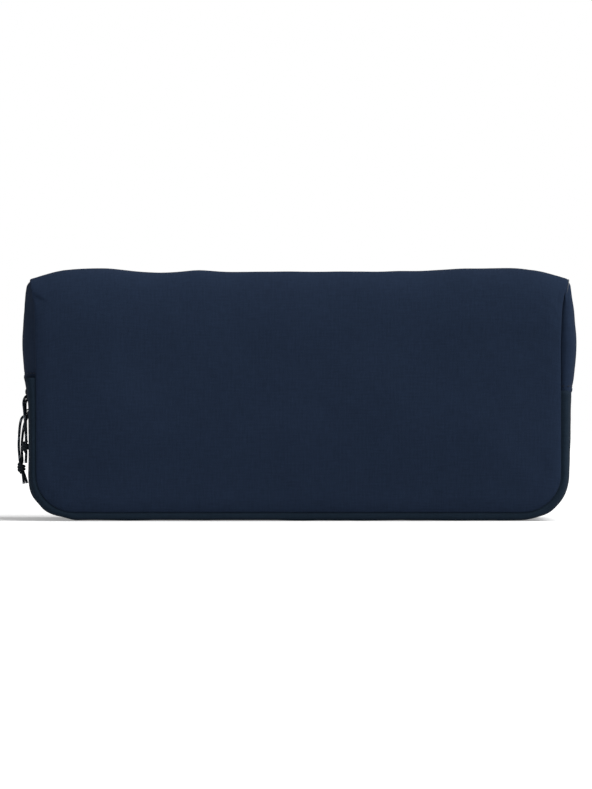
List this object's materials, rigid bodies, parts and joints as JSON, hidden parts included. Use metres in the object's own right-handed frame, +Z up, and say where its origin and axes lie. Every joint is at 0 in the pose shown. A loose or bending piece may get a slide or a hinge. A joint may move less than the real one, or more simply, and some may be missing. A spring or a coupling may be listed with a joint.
{
  "type": "travel document organizer",
  "caption": "Boxy zipped fabric organizer for travel documents, with a fold-out front, inner pockets and corded sliders.",
  "frame": {"origin": "centre of the bottom edge, on the surface the pouch stands on", "axes": "+X along the width, to the right as seen from the front; +Y to the back; +Z up"},
  "size_m": [0.263, 0.06, 0.118],
  "materials": {
    "shell_fabric": "woven navy",
    "strip_fabric": "woven navy",
    "lining": "plain grey",
    "zip_tape": "knitted tape",
    "zip_coil": "satin",
    "slider": "dark satin",
    "cord": "braided",
    "mesh": "open mesh",
    "binding": "grosgrain"
  },
  "bodies": {
    "case": {"outer_shell": "shell_fabric", "lining_shell": "lining", "upper_gusset_left": "shell_fabric", "upper_gusset_right": "shell_fabric", "zip_strip_rear": "strip_fabric", "zip_tape_rear": "zip_tape", "zip_coil_rear": "zip_coil", "zip_stop_left": "slider", "zip_stop_right": "slider", "zip_end_tab_left": "strip_fabric", "zip_end_tab_right": "strip_fabric", "seam_binding_rear": "binding", "slip_pocket_edge": "binding", "slip_pocket": "lining", "card_pocket_1": "lining", "card_pocket_2": "lining", "card_pocket_3": "lining", "pen_loop": "binding"},
    "flap": {"front_panel_lower": "shell_fabric", "lining_front": "lining", "zip_strip_front": "strip_fabric", "zip_strip_front_left": "strip_fabric", "zip_strip_front_right": "strip_fabric", "zip_tape_front": "zip_tape", "zip_tape_front_left": "zip_tape", "zip_tape_front_right": "zip_tape", "zip_coil_front": "zip_coil", "zip_coil_front_left": "zip_coil", "zip_coil_front_right": "zip_coil", "seam_binding_front": "binding", "mesh_pocket": "mesh", "mesh_pocket_elastic": "binding"},
    "upper_slider": {"slider_upper": "slider"},
    "lower_slider": {"slider_lower": "slider"},
    "upper_pull": {"pull_cord_upper": "cord", "pull_knot_upper": "cord"},
    "lower_pull": {"pull_cord_lower": "cord", "pull_knot_lower": "cord"}
  },
  "joints": [
    {"name": "flap_fold", "type": "hinge", "parent": "case", "child": "flap", "pos_m": [0, -0.03, 0.062], "axis": [-1, 0, 0], "range_deg": [0, 95], "deforming": ["zip_strip_front_left", "zip_strip_front_right", "zip_tape_front_left", "zip_tape_front_right", "zip_coil_front_left", "zip_coil_front_right"]},
    {"name": "upper_slider_slide", "type": "slide", "parent": "case", "child": "upper_slider", "axis": [0, 0, -1], "range_m": [0, 0.004]},
    {"name": "lower_slider_slide", "type": "slide", "parent": "upper_slider", "child": "lower_slider", "axis": [0, 0, -1], "range_m": [0, 0.012]},
    {"name": "upper_pull_swing", "type": "hinge", "parent": "upper_slider", "child": "upper_pull", "pos_m": [-0.12782, 0, 0.0602], "axis": [0, 1, 0], "range_deg": [0, 90]},
    {"name": "lower_pull_swing", "type": "hinge", "parent": "lower_slider", "child": "lower_pull", "pos_m": [-0.12782, 0, 0.0503], "axis": [0, 1, 0], "range_deg": [0, 90]}
  ]
}
